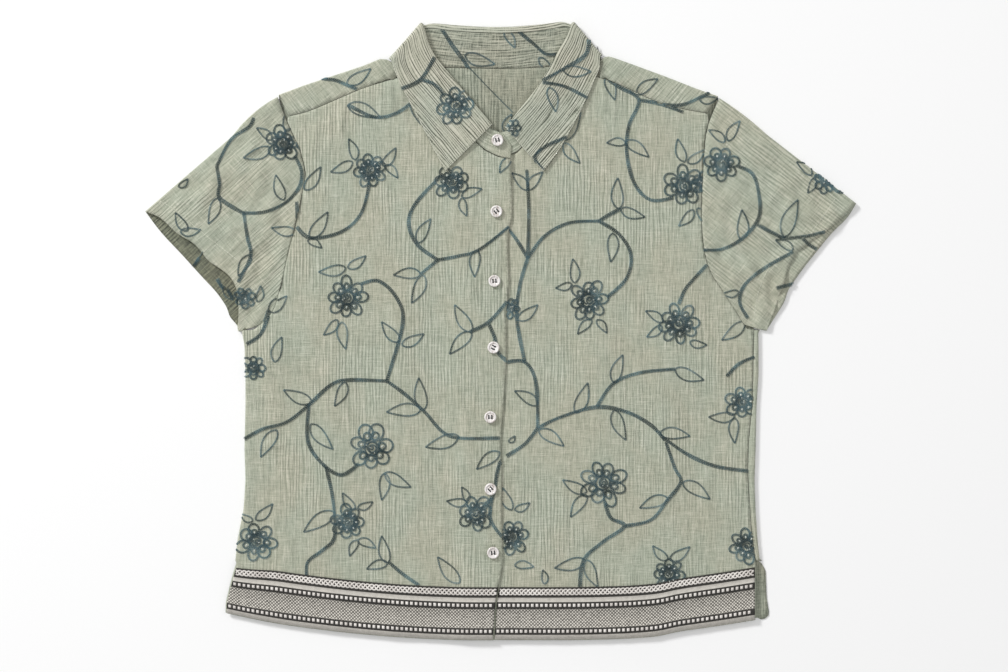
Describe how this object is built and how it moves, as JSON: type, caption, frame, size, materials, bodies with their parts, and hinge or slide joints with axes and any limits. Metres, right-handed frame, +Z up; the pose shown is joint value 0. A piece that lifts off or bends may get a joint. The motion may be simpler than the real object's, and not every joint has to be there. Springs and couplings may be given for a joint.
{
  "type": "button-up shirt",
  "caption": "Short-sleeved button-up shirt of crinkled cloth, laid flat and buttoned, with a point collar, vine embroidery and a woven border on the front hem.",
  "frame": {"origin": "bottom centre of the shirt's bounding box, on the surface it lies on", "axes": "+X across the shirt towards the wearer's left sleeve, +Y from the hem towards the collar, +Z up out of the surface through the shirt's front"},
  "size_m": [0.712, 0.6194, 0.0106],
  "materials": {
    "body_cloth": "sage green slubbed crinkle cotton with chain-stitch embroidery",
    "sleeve_cloth": "sage green slubbed crinkle cotton, grain along the sleeve",
    "collar_cloth": "sage green slubbed crinkle cotton, pressed and edge-stitched",
    "woven_border": "woven braid in cream and charcoal with a herringbone band",
    "button": "pearl-white four-hole shirt button"
  },
  "bodies": {
    "root": {"back": "body_cloth", "front_right": "body_cloth", "front_left": "body_cloth", "sleeve_right": "sleeve_cloth", "sleeve_left": "sleeve_cloth", "collar": "collar_cloth", "collar_stand": "collar_cloth", "hem_border_right": "woven_border", "hem_border_left": "woven_border", "button_1": "button", "button_2": "button", "button_3": "button", "button_4": "button", "button_5": "button", "button_6": "button", "button_7": "button"}
  },
  "joints": []
}
